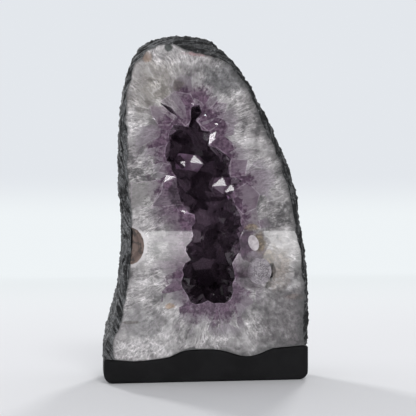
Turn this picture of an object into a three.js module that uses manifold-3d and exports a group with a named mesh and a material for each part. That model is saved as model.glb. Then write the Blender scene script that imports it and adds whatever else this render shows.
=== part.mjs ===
// An amethyst cathedral: a tall half geode, cut and polished on its front and set upright on a cast foot.
// A dark rough rind holds a thick lining of milky quartz. The lining ends in amethyst points round a deep
// cavity that opens in the cut face. Three round inclusions sit in the lining and show in the cut face.
//
// Millimetres. +X is to the right of the cut face, +Y goes back, +Z is up, and the foot stands on z = 0.

import * as THREE from "three";
import { ConvexGeometry } from "three/addons/geometries/ConvexGeometry.js";
import { mergeVertices } from "three/addons/utils/BufferGeometryUtils.js";
import Module from "manifold-3d";

const wasm = await Module();
wasm.setup();

// ---- driving dimensions -------------------------------------------------------------------------------

const HALF_WIDTH = 84; // at the foot
const DEPTH = 112; // cut face to the back
const FOOT_RADIUS = 7; // rounding of the foot's lower side edges
const RIND_BEHIND = 8; // rind thickness at the back
const CAVITY_DEPTH = 64; // cut face to the root of the deepest points
const MIDDLE_HEIGHT = 110; // the stone's sides lean outwards above this height and stand nearly upright below it
const LUMP_HEIGHT = 4.5; // the largest lump of the natural outside
const LUMPS_START = [24, 70]; // heights over which the lumps come in: the foot stays plain
const GAP = 0.3; // clearance between neighbouring pieces
const OVERSHOOT = 6; // how far a cutting tool stands past the face that it cuts

// The rind's outline on the cut face, [x, z], from the left of the foot over the crown to its right.
const RIND_OUTLINE = [
  [-84, 30], [-78.5, 42], [-75, 54], [-71.5, 72], [-69, 104], [-69.5, 127], [-72.5, 160], [-72, 193],
  [-70, 222], [-67, 243], [-61, 263], [-47, 276], [-24, 280], [0, 277.5], [13, 268.5], [31, 248],
  [47, 219], [62, 187], [71.5, 164], [77, 130], [81.5, 102], [84, 60], [84, 30],
];
const RIND_SECTION_POINTS = 54;

// The lining's outline on the cut face: the rind is thin on the right and thick at the crown.
const LINING_OUTLINE = [
  [-77, 34], [-72, 47], [-67.5, 66], [-64, 85], [-62, 110], [-63, 140], [-66, 164], [-65.5, 190],
  [-67, 212], [-66, 234], [-60, 257], [-47, 270], [-28, 273.5], [-13, 267], [6, 263.5], [19, 257.5],
  [34, 237], [48, 206], [60, 180], [68, 155], [73, 128], [77.5, 104], [81, 76], [80.5, 45], [81, 30],
];
const LINING_FOOT_HALF_WIDTH = 77;
const LINING_SECTION_POINTS = 44;

// Where the cast foot ends under the stone, [x, z], from left to right.
const FOOT_TOP = [
  [-92, 20], [-76, 19], [-60, 17.5], [-45, 18.5], [-31, 20.5], [-22, 24.5], [-12, 26], [5, 26],
  [16, 24], [27, 20.5], [36, 20], [45, 22.5], [54, 26], [66, 27], [79, 28], [92, 29],
];

// The root of the amethyst points, [x, z]: the cavity's outline where the cut face opens it.
const CAVITY_OUTLINE = [
  [-38, 168], [-41, 192], [-33, 214], [-14, 232], [6, 222], [18, 202], [30, 180], [30, 156],
  [36, 128], [31, 104], [29, 78], [18, 60], [-6, 56], [-24, 66], [-28, 88], [-20, 118], [-22, 140],
];
const CAVITY_SECTION_POINTS = 28;
const CAVITY_MIDDLE = new THREE.Vector2(0, 146);
const CAVITY_AXIS = [new THREE.Vector2(-9, 198), new THREE.Vector2(5, 84)]; // the points grow towards this line

// The amethyst points: least and largest values.
const CRYSTAL_ROWS = [0.03, 0.3, 0.58, 0.84]; // shares of the cavity's depth
const CRYSTAL_RADIUS = [6, 9.5];
const CRYSTAL_LENGTH = [8, 13];
const ROOTED = 5; // how deep a crystal starts in the lining
const BACK_HEIGHTS = { from: 84, to: 212, step: 19 };
const BACK_RADIUS = [9, 13];
const BACK_LENGTH = [15, 23];

// ---- helpers ------------------------------------------------------------------------------------------

// The same numbers on every run, from 0 to 1.
function seededRandom(seed) {
  let state = seed;
  return () => {
    state = (state * 1664525 + 1013904223) % 4294967296;
    return state / 4294967296;
  };
}

const between = (random, [least, largest]) => least + (largest - least) * random();
const spread = (random, width) => width * (random() - 0.5);

function toSolid(geometry) {
  geometry.deleteAttribute("normal");
  geometry.deleteAttribute("uv");
  const merged = mergeVertices(geometry, 1e-4);
  return new wasm.Manifold(
    new wasm.Mesh({
      numProp: 3,
      vertProperties: merged.attributes.position.array,
      triVerts: new Uint32Array(merged.index.array),
    }),
  );
}

function toGeometry(solid) {
  const mesh = solid.getMesh();
  const indexed = new THREE.BufferGeometry();
  indexed.setAttribute("position", new THREE.BufferAttribute(mesh.vertProperties, 3));
  indexed.setIndex(new THREE.BufferAttribute(mesh.triVerts, 1));
  const geometry = indexed.toNonIndexed();
  geometry.computeVertexNormals();
  return geometry;
}

// The largest body of a solid: joining crowded points can shut small pockets between them.
function largestBody(solid) {
  return solid.decompose().reduce((best, body) => (body.volume() > best.volume() ? body : best));
}

// A closed surface through rings of equally many points, with flat caps on the first and last ring.
function loft(rings) {
  const count = rings[0].length;
  const index = [];
  for (let ring = 0; ring < rings.length - 1; ring++) {
    for (let i = 0; i < count; i++) {
      const here = ring * count + i;
      const next = ring * count + ((i + 1) % count);
      index.push(here, next, here + count, next, next + count, here + count);
    }
  }
  const cap = (ring, flip) => {
    const flat = rings[ring].map((p) => new THREE.Vector2(p.x, p.z));
    for (const [a, b, c] of THREE.ShapeUtils.triangulateShape(flat, [])) {
      const corners = flip ? [a, c, b] : [a, b, c];
      index.push(...corners.map((corner) => corner + ring * count));
    }
  };
  cap(0, false);
  cap(rings.length - 1, true);
  const positions = rings.flat().flatMap((p) => [p.x, p.y, p.z]);
  const geometry = new THREE.BufferGeometry();
  geometry.setAttribute("position", new THREE.Float32BufferAttribute(positions, 3));
  geometry.setIndex(index);
  return toSolid(geometry);
}

// A body whose section is drawn in the XZ plane and runs along +Y from y = from to y = to.
function prism(section, from, to) {
  const geometry = new THREE.ExtrudeGeometry(new THREE.Shape(section), {
    depth: to - from,
    bevelEnabled: false,
  });
  geometry.rotateX(Math.PI / 2);
  geometry.translate(0, to, 0);
  return toSolid(geometry);
}

const vectors = (points) => points.map(([x, z]) => new THREE.Vector2(x, z));

// ---- the stone's outer forms --------------------------------------------------------------------------

// A half-geode section: a flat foot with rounded lower edges, and the outline's points over it.
// The points run clockwise as seen from the front, starting at the left of the foot.
function standingSection(outline, footHalfWidth, radius, count) {
  const corner = (middle, from) =>
    new THREE.Path().absarc(middle, radius, radius, from, from - Math.PI / 2, true).getPoints(4);
  return [
    ...corner(radius - footHalfWidth, -Math.PI / 2),
    ...new THREE.SplineCurve(vectors(outline)).getSpacedPoints(count),
    ...corner(footHalfWidth - radius, 0),
  ];
}

// Broad lumps of the natural outside, as a share of their largest height.
function lump(x, y, z) {
  const broad = Math.sin(x * 0.045 + y * 0.05 + 1.3) * Math.sin(z * 0.052 - y * 0.03 + 0.6);
  const small = Math.sin(x * 0.13 - z * 0.05 + 0.4) * Math.sin(z * 0.14 + y * 0.12 + 2.1);
  return 0.7 * broad + 0.3 * small * (1 - y / DEPTH);
}

// A section eased towards a plain arch of the same width and height: the back is rounder than the cut face.
function eased(section, share) {
  const halfWidth = Math.max(...section.map((point) => Math.abs(point.x)));
  const height = Math.max(...section.map((point) => point.y));
  return section.map((point, i) => {
    const angle = Math.PI * (1 - i / (section.length - 1));
    return point.clone().lerp(new THREE.Vector2(halfWidth * Math.cos(angle), height * Math.sin(angle)), share);
  });
}

// The way out of the stone at a place on its outside. On the cut face it lies in the face.
function outward(x, y, z, depth) {
  const out = new THREE.Vector3(1.3 * x, y > 0 ? y - 0.35 * depth : 0, z - MIDDLE_HEIGHT);
  if (out.z < 0) out.z *= 0.2;
  return out.normalize();
}

const superellipse = (t, across, up) => (1 - t ** across) ** (1 / up);

// Half a geode: the section keeps its foot on the table and draws in towards the back.
const BODY_STEPS = 10;
const LAST_STEP = 0.998; // where the drawn-in section is closed by a small flat

function halfGeode(section, depth, growBy = 0, before = 0) {
  const rings = [];
  for (let step = 0; step <= BODY_STEPS; step++) {
    const t = LAST_STEP * Math.sin((Math.PI / 2) * (step / BODY_STEPS));
    const y = t * depth;
    rings.push(
      eased(section, t * t).map((point) => {
        const x = point.x * superellipse(t, 2.8, 2.2);
        const z = point.y * superellipse(t, 3.4, 2.6);
        const lumps = LUMP_HEIGHT * lump(x, y, z) * THREE.MathUtils.smoothstep(z, ...LUMPS_START);
        const grown = new THREE.Vector3(x, y, z);
        grown.addScaledVector(outward(x, y, z, depth), lumps * Math.min(1, 3 * t) + growBy);
        grown.z = Math.max(grown.z, 0);
        return grown;
      }),
    );
  }
  if (before > 0) rings.unshift(rings[0].map((p) => new THREE.Vector3(p.x, p.y - before, p.z)));
  return loft(rings);
}

function footBlock(raisedBy) {
  const section = [
    ...new THREE.SplineCurve(vectors(FOOT_TOP)).getPoints(30),
    new THREE.Vector2(HALF_WIDTH + 8, -OVERSHOOT),
    new THREE.Vector2(-HALF_WIDTH - 8, -OVERSHOOT),
  ];
  section.slice(0, -2).forEach((point) => (point.y += raisedBy));
  return prism(section, -OVERSHOOT, DEPTH + OVERSHOOT);
}

// ---- the cavity and its points ------------------------------------------------------------------------

const cavitySection = new THREE.CatmullRomCurve3(
  CAVITY_OUTLINE.map(([x, z]) => new THREE.Vector3(x, 0, z)),
  true,
  "centripetal",
).getSpacedPoints(CAVITY_SECTION_POINTS).slice(0, CAVITY_SECTION_POINTS);

// The cavity is widest a little behind the cut face and rounds in towards its back.
function cavityWall(t) {
  const scale = (1 + 0.22 * Math.sin(Math.PI * Math.min(1, t * 1.4))) * (1 - t ** 4) ** 0.5;
  return cavitySection.map((p) => new THREE.Vector3(
    CAVITY_MIDDLE.x + (p.x - CAVITY_MIDDLE.x) * scale,
    t * CAVITY_DEPTH,
    CAVITY_MIDDLE.y + (p.z - CAVITY_MIDDLE.y) * (1 + (scale - 1) * 0.6),
  ));
}

function cavityBody() {
  const rings = [0, 0.15, 0.35, 0.55, 0.72, 0.86, 0.95].map(cavityWall);
  rings.unshift(rings[0].map((p) => new THREE.Vector3(p.x, -OVERSHOOT, p.z)));
  return loft(rings);
}

// One quartz crystal, its root at the origin and its point along +Y: six sides and six end faces.
// A lean moves the point off the middle, so that the end faces are unequal.
function crystal(radius, length, lean) {
  const corners = [new THREE.Vector3(lean * radius, length, lean * radius * 0.6)];
  for (let side = 0; side < 6; side++) {
    const x = radius * Math.cos((side * Math.PI) / 3);
    const z = radius * Math.sin((side * Math.PI) / 3);
    corners.push(new THREE.Vector3(x * 0.9, 0, z * 0.9));
    corners.push(new THREE.Vector3(x, length - radius * (side % 2 ? 0.95 : 1.15), z));
  }
  return toSolid(new ConvexGeometry(corners));
}

// Turns a crystal's +Y to the given direction, spins it on its own axis and sets it at the given place.
function plant(solid, place, direction, spin) {
  const turn = new THREE.Quaternion().setFromUnitVectors(new THREE.Vector3(0, 1, 0), direction);
  turn.multiply(new THREE.Quaternion().setFromAxisAngle(new THREE.Vector3(0, 1, 0), spin));
  const matrix = new THREE.Matrix4().compose(place, turn, new THREE.Vector3(1, 1, 1));
  return solid.transform(matrix.elements);
}

// The nearest place to (x, z) on the line that the points grow towards.
function onAxis(x, z) {
  const [top, bottom] = CAVITY_AXIS;
  const along = bottom.clone().sub(top);
  const share = new THREE.Vector2(x, z).sub(top).dot(along) / along.lengthSq();
  return top.clone().addScaledVector(along, THREE.MathUtils.clamp(share, 0, 1));
}

// Points all over the cavity's wall, every other row set between the points of its neighbours.
function amethystPoints() {
  const random = seededRandom(11);
  const points = [];
  CRYSTAL_ROWS.forEach((t, row) => {
    const wall = cavityWall(t);
    for (let i = row % 2; i < wall.length; i += 2) {
      const place = wall[i];
      const aim = onAxis(place.x, place.z);
      const direction = new THREE.Vector3(aim.x - place.x, 0, aim.y - place.z).normalize();
      direction.y = -0.15 - 1.1 * t ** 3 + spread(random, 0.3);
      direction.x += spread(random, 0.5);
      direction.z += spread(random, 0.5);
      direction.normalize();
      const radius = between(random, CRYSTAL_RADIUS);
      const solid = crystal(radius, ROOTED + between(random, CRYSTAL_LENGTH), spread(random, 0.5));
      const root = place.clone().addScaledVector(direction, -ROOTED);
      points.push(plant(solid, root, direction, 2 * Math.PI * random()));
    }
  });
  return points;
}

// The back of the cavity is closed by stout points that look out through the opening.
function backPoints() {
  const random = seededRandom(5);
  const points = [];
  for (let z = BACK_HEIGHTS.from; z < BACK_HEIGHTS.to; z += BACK_HEIGHTS.step) {
    for (const side of [-1, 1]) {
      const x = onAxis(0, z).x + side * between(random, [7, 10]);
      const place = new THREE.Vector3(x, CAVITY_DEPTH + 2, z + between(random, [0, 6]));
      const direction = new THREE.Vector3(-0.25 * side + spread(random, 0.4), -1, spread(random, 0.5));
      const solid = crystal(between(random, BACK_RADIUS), between(random, BACK_LENGTH), spread(random, 0.4));
      points.push(plant(solid, place, direction.normalize(), 2 * Math.PI * random()));
    }
  }
  return points;
}

// ---- inclusions ---------------------------------------------------------------------------------------

// An egg-shaped inclusion: centre on the cut face, half sizes along X, Y and Z, and a turn in the face.
const INCLUSIONS = {
  brown_agate_nodule: { x: -63, z: 110.5, half: [11.5, 13, 15], turn: 0, colour: 0x8a7068 },
  white_calcite_pebble: { x: 38, z: 112.5, half: [4.2, 6, 6.6], turn: -0.35, colour: 0xd9d2d4 },
  grey_quartz_nodule: { x: 43, z: 89.5, half: [10, 10, 11], turn: 0, colour: 0x9d999e },
};

function inclusion({ x, z, half, turn }, growBy) {
  const geometry = new THREE.SphereGeometry(1, 18, 12);
  geometry.scale(...half.map((size) => size + growBy));
  geometry.rotateY(turn);
  geometry.translate(x, 0, z);
  return toSolid(geometry);
}

// ---- the pieces ---------------------------------------------------------------------------------------

const rindSection = standingSection(RIND_OUTLINE, HALF_WIDTH, FOOT_RADIUS, RIND_SECTION_POINTS);
const liningSection = standingSection(LINING_OUTLINE, LINING_FOOT_HALF_WIDTH, FOOT_RADIUS, LINING_SECTION_POINTS);
const wholeStone = halfGeode(rindSection, DEPTH);
const wholeLining = halfGeode(liningSection, DEPTH - RIND_BEHIND);

function castFoot() {
  return wholeStone.intersect(footBlock(0));
}

function rind() {
  const hollow = halfGeode(liningSection, DEPTH - RIND_BEHIND + GAP, GAP, OVERSHOOT);
  return wholeStone.subtract(hollow).subtract(footBlock(GAP));
}

function quartzLining() {
  let lining = wholeLining.subtract(footBlock(GAP)).subtract(cavityBody());
  for (const point of [...amethystPoints(), ...backPoints()]) lining = lining.add(point);
  for (const shape of Object.values(INCLUSIONS)) lining = lining.subtract(inclusion(shape, GAP));
  return largestBody(lining.intersect(wholeLining));
}

function node(name, solid, colour, roughness) {
  const material = new THREE.MeshStandardMaterial({ color: colour, roughness, metalness: 0, flatShading: true });
  const mesh = new THREE.Mesh(toGeometry(solid), material);
  mesh.name = name;
  return mesh;
}

const geode = new THREE.Group();
geode.add(node("cast_foot", castFoot(), 0x17181a, 0.6));
geode.add(node("rind", rind(), 0x2c3130, 0.85));
geode.add(node("quartz_lining", quartzLining(), 0xa39fa6, 0.2));
for (const [name, shape] of Object.entries(INCLUSIONS)) {
  geode.add(node(name, inclusion(shape, 0).intersect(wholeLining), shape.colour, 0.3));
}

// The part's origin is under the middle of its box, on the table.
const box = new THREE.Box3().setFromObject(geode);
geode.position.set(-(box.min.x + box.max.x) / 2, -(box.min.y + box.max.y) / 2, 0);

export default geode;
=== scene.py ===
"""An amethyst cathedral: a tall half geode, cut and polished on its front, standing on a cast foot.

The script builds the geode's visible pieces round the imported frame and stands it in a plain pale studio.
Everything is in metres in the frame's axes: +X to the right of the cut face, +Y back, +Z up.
"""

import functools
import itertools
import math

import bmesh
import bpy
import numpy as np
from mathutils import Matrix, Vector, noise
from mathutils.geometry import delaunay_2d_cdt


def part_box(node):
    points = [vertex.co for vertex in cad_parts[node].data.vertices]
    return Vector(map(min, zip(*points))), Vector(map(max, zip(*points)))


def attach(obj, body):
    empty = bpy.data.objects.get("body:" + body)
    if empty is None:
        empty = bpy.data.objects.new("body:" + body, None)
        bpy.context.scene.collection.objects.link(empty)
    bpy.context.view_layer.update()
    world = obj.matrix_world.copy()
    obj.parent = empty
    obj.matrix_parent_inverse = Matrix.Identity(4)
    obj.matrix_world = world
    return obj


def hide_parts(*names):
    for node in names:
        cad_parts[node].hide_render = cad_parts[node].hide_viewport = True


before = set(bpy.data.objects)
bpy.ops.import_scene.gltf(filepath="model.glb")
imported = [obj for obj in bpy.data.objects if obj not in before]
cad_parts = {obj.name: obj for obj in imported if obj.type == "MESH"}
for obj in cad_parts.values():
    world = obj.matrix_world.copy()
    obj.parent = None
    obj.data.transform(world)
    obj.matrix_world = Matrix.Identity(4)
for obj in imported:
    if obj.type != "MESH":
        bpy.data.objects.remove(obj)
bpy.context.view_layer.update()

bl_info = {
    "name": "Amethyst Cathedral",
    "version": (1, 0, 0),
    "blender": (4, 5, 0),
    "location": "3D View > Sidebar > Geode",
    "description": "A half geode with a polished face, a crystal cavity and a cast foot",
    "category": "Add Mesh",
}

MM = 0.001
FACE_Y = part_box("quartz_lining")[0].y  # the plane of the cut face
BEHIND_FACE = FACE_Y + 0.01 * MM  # whatever lies in front of this is part of the cut face
SAW_ALLOWANCE = 5 * MM  # how far a piece stands past the cut face before it is sawn
QUARTZ_IOR = 1.54
POLISHED = 0.02  # roughness of the cut face
INCLUSIONS = ("white_calcite_pebble", "grey_quartz_nodule", "brown_agate_nodule")


# ---- outlines on the cut face, in millimetres from the middle of the foot: (x, z) ----

# The mouth of the cavity, clockwise from its top.
MOUTH = [
    (-6.8, 225), (-4.8, 218), (-9.8, 212), (-4.8, 204), (2.2, 203), (1.2, 191.5), (7.2, 190), (14.2, 185),
    (19.2, 181), (17.2, 174), (18.2, 166), (29.2, 163), (23.2, 159), (18.2, 151), (23.2, 142), (27.2, 135),
    (27.2, 129), (29.2, 123), (26.2, 116), (27.2, 108), (23.2, 101), (20.2, 96), (22.2, 88), (20.2, 79),
    (19.2, 67), (9.2, 64), (0.2, 66), (-9.8, 63), (-16.8, 71), (-20.8, 77), (-20.8, 91), (-13.8, 99),
    (-17.8, 106), (-11.8, 119), (-10.8, 136), (-18.8, 141), (-22.8, 150), (-24.8, 160), (-25.8, 166.5),
    (-29.8, 176), (-34.8, 184), (-31.8, 199), (-27.8, 208), (-15.8, 206), (-13.8, 213), (-12.8, 223),
]

# The line that the crystals grow towards, from the top of the cavity to its bottom.
HEART = [(-12, 206), (-5, 168), (9, 128), (4, 86)]

CAVITY_DEPTH = 66 * MM


# ---- settings ----


def colour_setting(name, description, default):
    return bpy.props.FloatVectorProperty(
        name=name, description=description, subtype="COLOR", size=3, min=0, max=1, default=default
    )


def number_setting(name, description, default, **more):
    return bpy.props.FloatProperty(name=name, description=description, default=default, **more)


def length_setting(name, description, millimetres):
    return number_setting(name, description, millimetres * MM, unit="LENGTH", min=0, precision=5)


class GeodeSettings(bpy.types.PropertyGroup):
    """Sizes and colours of the stone."""

    seed: bpy.props.IntProperty(name="Seed", description="Changes how the crystals fall", default=7)
    crystal_small: length_setting("Smallest crystal", "Least radius of an amethyst crystal", 5.0)
    crystal_large: length_setting("Largest crystal", "Largest radius of an amethyst crystal", 9.0)
    crystal_spacing: length_setting("Crystal spacing", "Distance between crystals on the cavity's wall", 10.5)
    crust_grain: length_setting("Crust mesh", "Size of the faces of the rough crust", 1.45)
    crust_relief: length_setting("Crust relief", "Height of the lumps of the crust", 1.5)
    foot_grain: length_setting("Foot mesh", "Size of the faces of the cast foot", 1.6)
    amethyst_tint: colour_setting("Amethyst tint", "Colour of light through a thin crystal", (0.40, 0.16, 0.50))
    amethyst_density: number_setting("Amethyst density", "How fast a crystal darkens with thickness, per metre", 18)
    clear_grey: colour_setting("Clear grey", "Clearer quartz of the lining", (0.131, 0.125, 0.128))
    haze: colour_setting("Haze", "Cloudy quartz of the lining", (0.362, 0.345, 0.348))
    milk: colour_setting("Milk", "Milky veils in the lining", (0.55, 0.53, 0.535))
    strand: colour_setting("Strand", "White strands in the lining", (0.74, 0.72, 0.725))
    amethyst: colour_setting("Amethyst", "Cloudy light within a deep crystal", (0.63, 0.44, 0.61))
    amethyst_pale: colour_setting("Pale amethyst", "Cloudy light within a crystal at the mouth", (0.72, 0.52, 0.70))
    lilac: colour_setting("Lilac", "Polished quartz near the cavity", (0.205, 0.160, 0.200))
    violet: colour_setting("Violet", "Polished amethyst at the mouth of the cavity", (0.050, 0.022, 0.048))
    crust_dark: colour_setting("Crust", "Hollows of the crust", (0.010, 0.0105, 0.011))
    crust_pale: colour_setting("Pale crust", "Ridges of the crust", (0.115, 0.117, 0.120))
    agate_dark: colour_setting("Agate", "Darker rings of the agate", (0.10, 0.065, 0.055))
    agate_pale: colour_setting("Pale agate", "Paler rings of the agate", (0.22, 0.155, 0.13))
    foot_black: colour_setting("Foot", "Painted cement of the foot", (0.0060, 0.0060, 0.0068))


class StudioSettings(bpy.types.PropertyGroup):
    """Camera, table and lights."""

    lens: number_setting("Lens", "Focal length, mm", 103.0)
    distance: length_setting("Distance", "Camera to the cut face", 965)
    azimuth: number_setting("Azimuth", "Camera's turn round the geode", math.radians(-8.6), subtype="ANGLE")
    eye_height: length_setting("Eye height", "Camera above the table", 146)
    aim_height: length_setting("Aim height", "Height of the point that the camera looks at", 141)
    aim_right: length_setting("Aim right", "How far right of the middle the camera looks", 0.3)
    horizon: colour_setting("Horizon", "Studio wall behind, at the table", (0.86, 0.90, 0.92))
    wall: colour_setting("Wall", "Studio wall behind, higher up", (0.77, 0.80, 0.84))
    ceiling: colour_setting("Ceiling", "Light from straight above", (0.60, 0.61, 0.63))
    room: colour_setting("Room", "Dim room in front of the geode", (0.34, 0.34, 0.35))
    table: colour_setting("Table", "White table", (0.79, 0.794, 0.81))
    back_light: number_setting("Back lights", "Power of each back light, W", 29.0)
    front_light: number_setting("Front light", "Power of the high front light, W", 7.5)
    low_light: number_setting("Low light", "Power of the small low front light, W", 1.0)
    card: number_setting("Card", "Brightness of the low card in front", 6.2)


# ---- mesh tools ----


def link_object(name, data):
    """A new object in the scene."""
    thing = bpy.data.objects.new(name, data)
    bpy.context.scene.collection.objects.link(thing)
    return thing


def new_object(name, vertices, faces):
    mesh = bpy.data.meshes.new(name)
    mesh.from_pydata([tuple(v) for v in vertices], [], [tuple(f) for f in faces])
    mesh.validate()
    return link_object(name, mesh)


def edit(piece, change):
    """Runs change(bmesh) on a piece's mesh."""
    bm = bmesh.new()
    bm.from_mesh(piece.data)
    change(bm)
    bm.to_mesh(piece.data)
    bm.free()
    piece.data.update()


def copy_of_node(node, name):
    """A closed copy of a CAD node's mesh, with its shared corners joined."""
    piece = link_object(name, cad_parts[node].data.copy())
    piece.data.materials.clear()

    def close(bm):
        bmesh.ops.remove_doubles(bm, verts=bm.verts, dist=0.002 * MM)
        bmesh.ops.recalc_face_normals(bm, faces=bm.faces)

    edit(piece, close)
    piece.data.validate()
    return piece


def apply_modifiers(piece):
    depsgraph = bpy.context.evaluated_depsgraph_get()
    mesh = bpy.data.meshes.new_from_object(piece.evaluated_get(depsgraph))
    before = piece.data
    piece.modifiers.clear()
    piece.data = mesh
    bpy.data.meshes.remove(before)


def combine(piece, operation, operands):
    """Joins a closed piece with closed operands, or cuts them from it, and removes the operands."""
    tools = bpy.data.collections.new("operands")
    bpy.context.scene.collection.children.link(tools)
    for operand in operands:
        tools.objects.link(operand)
    modifier = piece.modifiers.new("combine", "BOOLEAN")
    modifier.operation = operation
    modifier.operand_type = "COLLECTION"
    modifier.collection = tools
    modifier.solver = "MANIFOLD"
    apply_modifiers(piece)
    for operand in operands:
        bpy.data.objects.remove(operand)
    bpy.data.collections.remove(tools)


def duplicate(piece):
    return link_object("duplicate", piece.data.copy())


def remesh(piece, grain):
    modifier = piece.modifiers.new("remesh", "REMESH")
    modifier.mode = "VOXEL"
    modifier.voxel_size = grain
    apply_modifiers(piece)


def stand_past_face(piece):
    """Moves what lies in the cut face forward, so that the saw can take it off again."""
    for vertex in piece.data.vertices:
        if vertex.co.y < BEHIND_FACE:
            vertex.co.y -= SAW_ALLOWANCE


def saw_block():
    """Everything in front of the cut face."""
    corners = list(itertools.product((-0.2, 0.2), (FACE_Y - 0.1, FACE_Y), (-0.1, 0.4)))
    faces = [(0, 1, 3, 2), (4, 6, 7, 5), (0, 4, 5, 1), (2, 3, 7, 6), (0, 2, 6, 4), (1, 5, 7, 3)]
    return new_object("saw", corners, faces)


def loft(name, rings):
    """A closed skin through rings of equally many points, with a flat cap at each end."""
    count = len(rings[0])
    faces = []
    for ring in range(len(rings) - 1):
        for i in range(count):
            here, after = ring * count + i, ring * count + (i + 1) % count
            faces.append((here, after, after + count, here + count))
    faces.append(tuple(reversed(range(count))))
    faces.append(tuple(range((len(rings) - 1) * count, len(rings) * count)))
    piece = new_object(name, [p for ring in rings for p in ring], faces)

    def tidy(bm):
        bmesh.ops.triangulate(bm, faces=bm.faces)
        bmesh.ops.recalc_face_normals(bm, faces=bm.faces)

    edit(piece, tidy)
    return piece


def shade(piece, *materials, smooth=False):
    piece.data.materials.clear()
    for material in materials:
        piece.data.materials.append(material)
    for polygon in piece.data.polygons:
        polygon.use_smooth = smooth


def sides(corners):
    """Each corner of an outline with the next one."""
    return zip(corners, corners[1:] + corners[:1])


def ring_edges(points):
    """The edges of a closed ring of points, each a pair of ends."""
    return np.stack([points, np.roll(points, -1, 0)], 1)


def finish_piece(piece, node):
    """Hands a finished piece to the frame: it rides on the stone and stands for its CAD node."""
    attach(piece, "root")
    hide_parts(node)


# ---- shader tools ----


def set_inputs(tree, node, inputs):
    """Sets a node's inputs, by name or number, to values or to sockets of other nodes."""
    for name, value in inputs.items():
        if isinstance(value, bpy.types.NodeSocket):
            tree.links.new(value, node.inputs[name])
        else:
            node.inputs[name].default_value = value


def add(tree, kind, inputs=None, **properties):
    """A new node with its properties and inputs."""
    node = tree.nodes.new(kind)
    for name, value in properties.items():
        setattr(node, name, value)
    set_inputs(tree, node, inputs or {})
    return node


def maths(tree, operation, *values, clamp=False):
    inputs = dict(enumerate(values))
    return add(tree, "ShaderNodeMath", inputs, operation=operation, use_clamp=clamp).outputs[0]


def plus(tree, a, b, clamp=False):
    return maths(tree, "ADD", a, b, clamp=clamp)


def minus(tree, a, b, clamp=False):
    return maths(tree, "SUBTRACT", a, b, clamp=clamp)


def times(tree, a, b):
    return maths(tree, "MULTIPLY", a, b)


def vector_maths(tree, operation, *values, output=0, **named):
    inputs = dict(enumerate(values)) | named
    return add(tree, "ShaderNodeVectorMath", inputs, operation=operation).outputs[output]


def fade(tree, value, start, end, to_start=0.0, to_end=1.0):
    """Runs smoothly from to_start to to_end while value runs from start to end."""
    inputs = {"Value": value, "From Min": start, "From Max": end, "To Min": to_start, "To Max": to_end}
    return add(tree, "ShaderNodeMapRange", inputs, interpolation_type="SMOOTHSTEP").outputs["Result"]


def lines(tree, value, level, width, weakest=0.0, strongest=1.0):
    """Thin lines where a value passes a level."""
    return fade(tree, maths(tree, "ABSOLUTE", minus(tree, value, level)), width, 0.0, weakest, strongest)


def mix(tree, factor, a, b):
    """Mixes two colours. The node has sockets for every kind of data, so those for colours go by number."""
    return add(tree, "ShaderNodeMix", {0: factor, 6: rgba(a), 7: rgba(b)}, data_type="RGBA").outputs[2]


def rgba(value):
    return value if isinstance(value, bpy.types.NodeSocket) else (*value[:3], 1.0)


def noise_value(tree, vector, scale, detail=2.0, w=None, roughness=0.5, distortion=0.0):
    inputs = {"Vector": vector, "Scale": scale, "Detail": detail, "Roughness": roughness, "Distortion": distortion}
    if w is not None:
        inputs["W"] = w
    dimensions = "3D" if w is None else "4D"
    return add(tree, "ShaderNodeTexNoise", inputs, noise_dimensions=dimensions).outputs["Fac"]


def object_place(tree):
    return add(tree, "ShaderNodeTexCoord").outputs["Object"]


def coordinate(tree, place, axis):
    return add(tree, "ShaderNodeSeparateXYZ", {"Vector": place}).outputs[axis]


def attribute(tree, name):
    return add(tree, "ShaderNodeAttribute", attribute_name=name).outputs["Fac"]


def shader_group(name, inputs, outputs):
    """A new node group: inputs and outputs are (name, socket type, default) and (name, socket type)."""
    group = bpy.data.node_groups.new(name, "ShaderNodeTree")
    for label, kind, default in inputs:
        socket = group.interface.new_socket(name=label, in_out="INPUT", socket_type=kind)
        socket.default_value = default
    for label, kind in outputs:
        group.interface.new_socket(name=label, in_out="OUTPUT", socket_type=kind)
    entry = group.nodes.new("NodeGroupInput")
    leave = group.nodes.new("NodeGroupOutput")
    return group, entry.outputs, leave.inputs


def use_group(tree, group, inputs):
    return add(tree, "ShaderNodeGroup", inputs, node_tree=group).outputs


def new_material(name, **constants):
    """A material with one Principled shader: returns the material, its tree and the shader."""
    material = bpy.data.materials.new(name)
    material.use_nodes = True
    tree = material.node_tree
    tree.nodes.clear()
    shader = tree.nodes.new("ShaderNodeBsdfPrincipled")
    out = tree.nodes.new("ShaderNodeOutputMaterial")
    tree.links.new(shader.outputs["BSDF"], out.inputs["Surface"])
    for socket, value in constants.items():
        shader.inputs[socket.replace("_", " ")].default_value = value
    return material, tree, shader, out


def bump(tree, height, distance, strength):
    inputs = {"Height": height, "Distance": distance, "Strength": strength}
    return add(tree, "ShaderNodeBump", inputs).outputs["Normal"]


# ---- shader groups ----


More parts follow.
